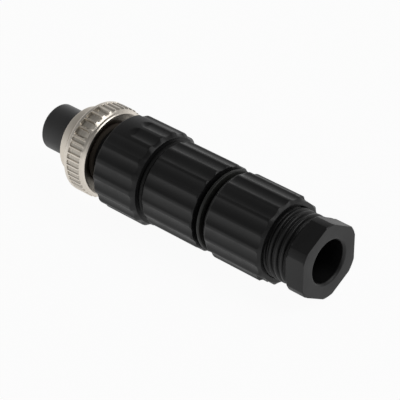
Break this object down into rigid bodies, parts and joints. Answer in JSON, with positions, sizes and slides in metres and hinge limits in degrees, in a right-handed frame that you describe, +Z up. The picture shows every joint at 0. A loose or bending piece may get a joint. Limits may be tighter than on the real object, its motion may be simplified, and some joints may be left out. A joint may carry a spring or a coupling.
{
  "type": "circular sensor connector",
  "caption": "Straight field-wireable circular connector for a sensor cable: socket nose, knurled coupling nut, fluted black grip bodies and a hexagon cable gland.",
  "frame": {"origin": "centre of the mating face, on the connector's axis", "axes": "+X along the axis from the mating face to the cable end, +Z up as the connector lies on a table, with the plain marking pad on top"},
  "size_m": [0.045, 0.0124, 0.0123],
  "materials": {
    "body_plastic": "satin black moulded plastic",
    "insert_plastic": "satin black moulded plastic",
    "cage_plastic": "dark grey moulded plastic",
    "nickel": "turned brass with nickel plating",
    "contact_brass": "turned and gold plated",
    "screw_steel": "bright zinc plated",
    "ring_steel": "stamped, plain",
    "seal_rubber": "black rubber"
  },
  "bodies": {
    "front_shell": {"front_body": "body_plastic", "contact_insert": "insert_plastic", "contact_1": "contact_brass", "contact_2": "contact_brass", "contact_3": "contact_brass", "contact_4": "contact_brass", "terminal_screws": "screw_steel", "mating_seal": "seal_rubber", "insert_seal": "seal_rubber"},
    "nut_carriage": {"nut_friction_ring": "seal_rubber"},
    "nut": {"coupling_nut": "nickel"},
    "sleeve_seal": {"front_seal": "seal_rubber"},
    "sleeve": {"middle_sleeve": "body_plastic"},
    "gasket": {"rear_gasket": "seal_rubber"},
    "gland": {"gland_body": "body_plastic", "cable_grommet": "seal_rubber", "clamping_cage": "cage_plastic"},
    "screw_carriage": {"thrust_ring": "ring_steel"},
    "screw": {"pressure_screw": "body_plastic"}
  },
  "joints": [
    {"name": "nut_float", "type": "slide", "parent": "front_shell", "child": "nut_carriage", "axis": [1, 0, 0], "range_m": [0, 0.0016]},
    {"name": "nut_spin", "type": "hinge", "parent": "nut_carriage", "child": "nut", "pos_m": [0.0076, 0, 0], "axis": [1, 0, 0], "continuous": true},
    {"name": "sleeve_turn", "type": "hinge", "parent": "front_shell", "child": "sleeve_seal", "pos_m": [0.0197, 0, 0], "axis": [1, 0, 0], "range_deg": [0, 810.1]},
    {"name": "sleeve_travel", "type": "slide", "parent": "sleeve_seal", "child": "sleeve", "axis": [1, 0, 0], "range_m": [0, 0.00225]},
    {"name": "gland_travel", "type": "slide", "parent": "sleeve", "child": "gasket", "axis": [1, 0, 0], "range_m": [-0.00055, 0.003]},
    {"name": "gland_turn", "type": "hinge", "parent": "gasket", "child": "gland", "pos_m": [0.0345, 0, 0], "axis": [1, 0, 0], "range_deg": [-198.1, 1080.1]},
    {"name": "screw_travel", "type": "slide", "parent": "gland", "child": "screw_carriage", "axis": [1, 0, 0], "range_m": [-0.0033, 0.00225]},
    {"name": "screw_turn", "type": "hinge", "parent": "screw_carriage", "child": "screw", "pos_m": [0.0402, 0, 0], "axis": [1, 0, 0], "range_deg": [-1320.1, 900.1]}
  ],
  "couplings": [
    {"joint": "sleeve_turn", "follows": "sleeve_travel", "rad_per_m": 6283.2},
    {"joint": "gland_turn", "follows": "gland_travel", "rad_per_m": 6283.2},
    {"joint": "screw_turn", "follows": "screw_travel", "rad_per_m": 6981.3}
  ]
}
